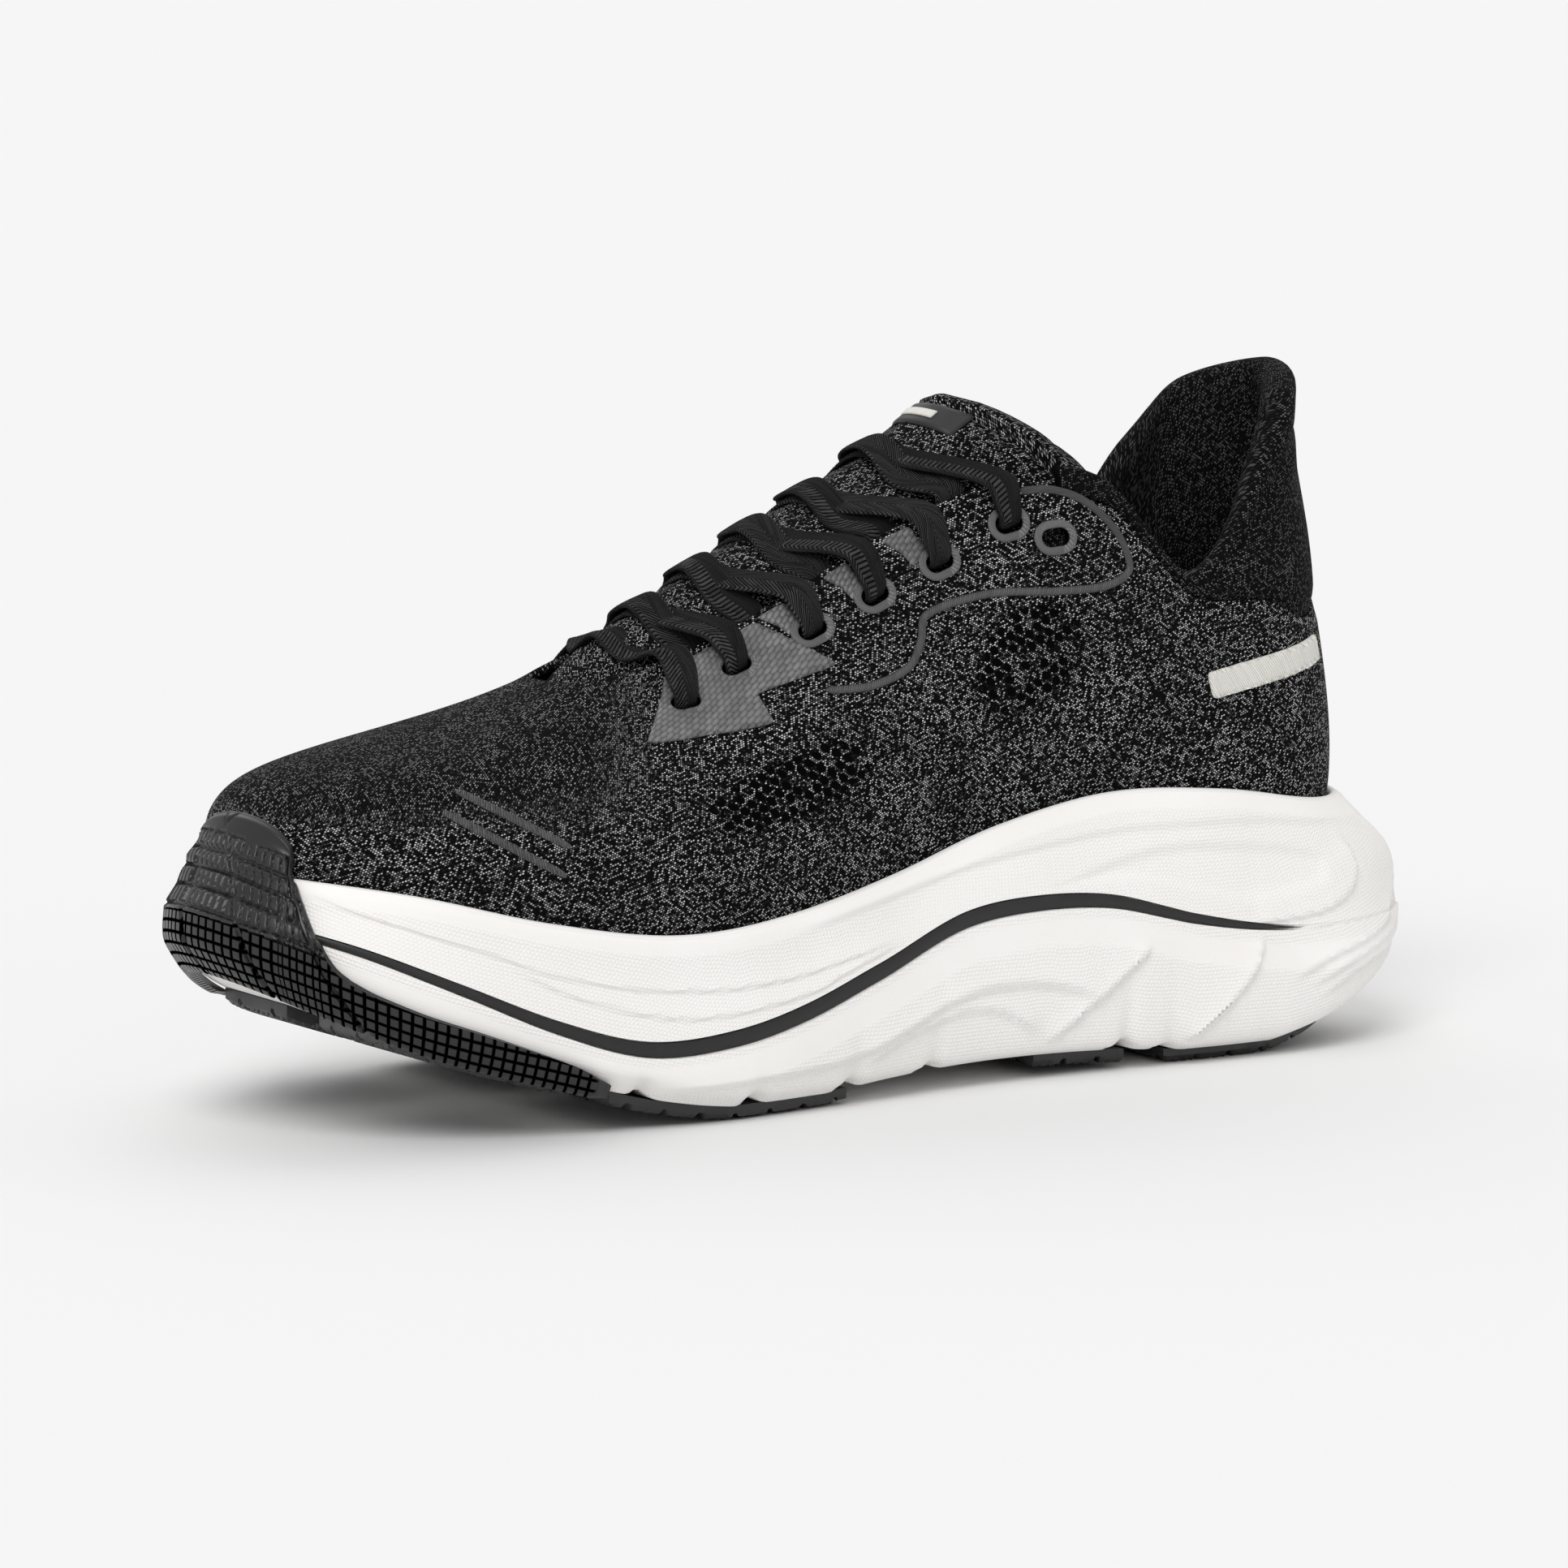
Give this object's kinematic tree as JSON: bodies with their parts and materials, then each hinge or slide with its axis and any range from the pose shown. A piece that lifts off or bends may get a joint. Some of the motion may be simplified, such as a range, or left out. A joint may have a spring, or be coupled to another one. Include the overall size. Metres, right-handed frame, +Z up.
{
  "type": "running shoe",
  "caption": "Cushioned running shoe for the right foot: thick foam sole on rubber pods, knit upper, padded tongue and collar, flared heel tab and a flat lace.",
  "frame": {"origin": "on the ground, under the middle of the shoe's bounding box", "axes": "+X from the toe to the heel, -Y the medial side, +Z up"},
  "size_m": [0.3144, 0.1192, 0.1521],
  "materials": {
    "knit": "black engineered knit with fine light flecks",
    "lining": "black padded lining knit",
    "foam": "off-white moulded foam with a fine grain",
    "rubber": "black rubber, satin",
    "film": "grey printed film",
    "lace": "black woven flat lace",
    "board": "pale lasting board",
    "plastic": "grey moulded plastic",
    "mark": "off-white raised film"
  },
  "bodies": {
    "rearfoot": {"midsole_rear": "foam", "strobel_rear": "board", "quarters": "knit", "vamp_fold": "knit", "heel_counter": "plastic", "heel_lining": "lining", "collar": "lining", "tongue": "knit", "lace": "lace", "aglet_a": "plastic", "aglet_b": "plastic", "stripe_medial": "rubber", "stripe_lateral": "rubber", "outsole_ball_medial": "rubber", "outsole_ball_lateral": "rubber", "outsole_arch_medial": "rubber", "outsole_arch_lateral": "rubber", "outsole_heel_medial": "rubber", "outsole_heel_lateral": "rubber", "eyestay_film_medial": "film", "eyestay_film_lateral": "film", "heel_bar_medial": "mark", "heel_bar_lateral": "mark", "eyelet_medial_4": "film", "eyelet_medial_5": "film", "eyelet_medial_6": "film", "eyelet_medial_7": "film", "eyelet_lateral_4": "film", "eyelet_lateral_5": "film", "eyelet_lateral_6": "film", "eyelet_lateral_7": "film"},
    "forefoot": {"midsole_front": "foam", "strobel_front": "board", "sockliner_front": "lining", "vamp": "knit", "stripe_toe": "rubber", "toe_bumper": "rubber", "outsole_front_medial": "rubber", "outsole_front_lateral": "rubber", "toe_bar_medial_low": "film", "toe_bar_medial_high": "film", "toe_bar_lateral_low": "film", "toe_bar_lateral_high": "film"},
    "tongue_flap": {"tongue_top": "knit", "tongue_label": "film"},
    "heel_flare": {"heel_tab": "lining"},
    "insole": {"sockliner_rear": "lining"}
  },
  "joints": [
    {"name": "toe_flex", "type": "hinge", "parent": "rearfoot", "child": "forefoot", "pos_m": [-0.0748, -0.0014, 0.044], "axis": [0, 1, 0], "range_deg": [0, 25], "stiffness_Nm_per_rad": 3, "deforming": ["vamp_fold"]},
    {"name": "tongue_tilt", "type": "hinge", "parent": "rearfoot", "child": "tongue_flap", "pos_m": [0.0264, -0.0014, 0.1412], "axis": [0, 1, 0], "range_deg": [-20, 4], "stiffness_Nm_per_rad": 0.05},
    {"name": "heel_tab_flex", "type": "hinge", "parent": "rearfoot", "child": "heel_flare", "pos_m": [0.1192, -0.0014, 0.122], "axis": [0, 1, 0], "range_deg": [-10, 12], "stiffness_Nm_per_rad": 0.3},
    {"name": "sockliner_peel", "type": "hinge", "parent": "rearfoot", "child": "insole", "pos_m": [-0.0748, -0.0014, 0.03102], "axis": [0, -1, 0], "range_deg": [0, 5]}
  ]
}
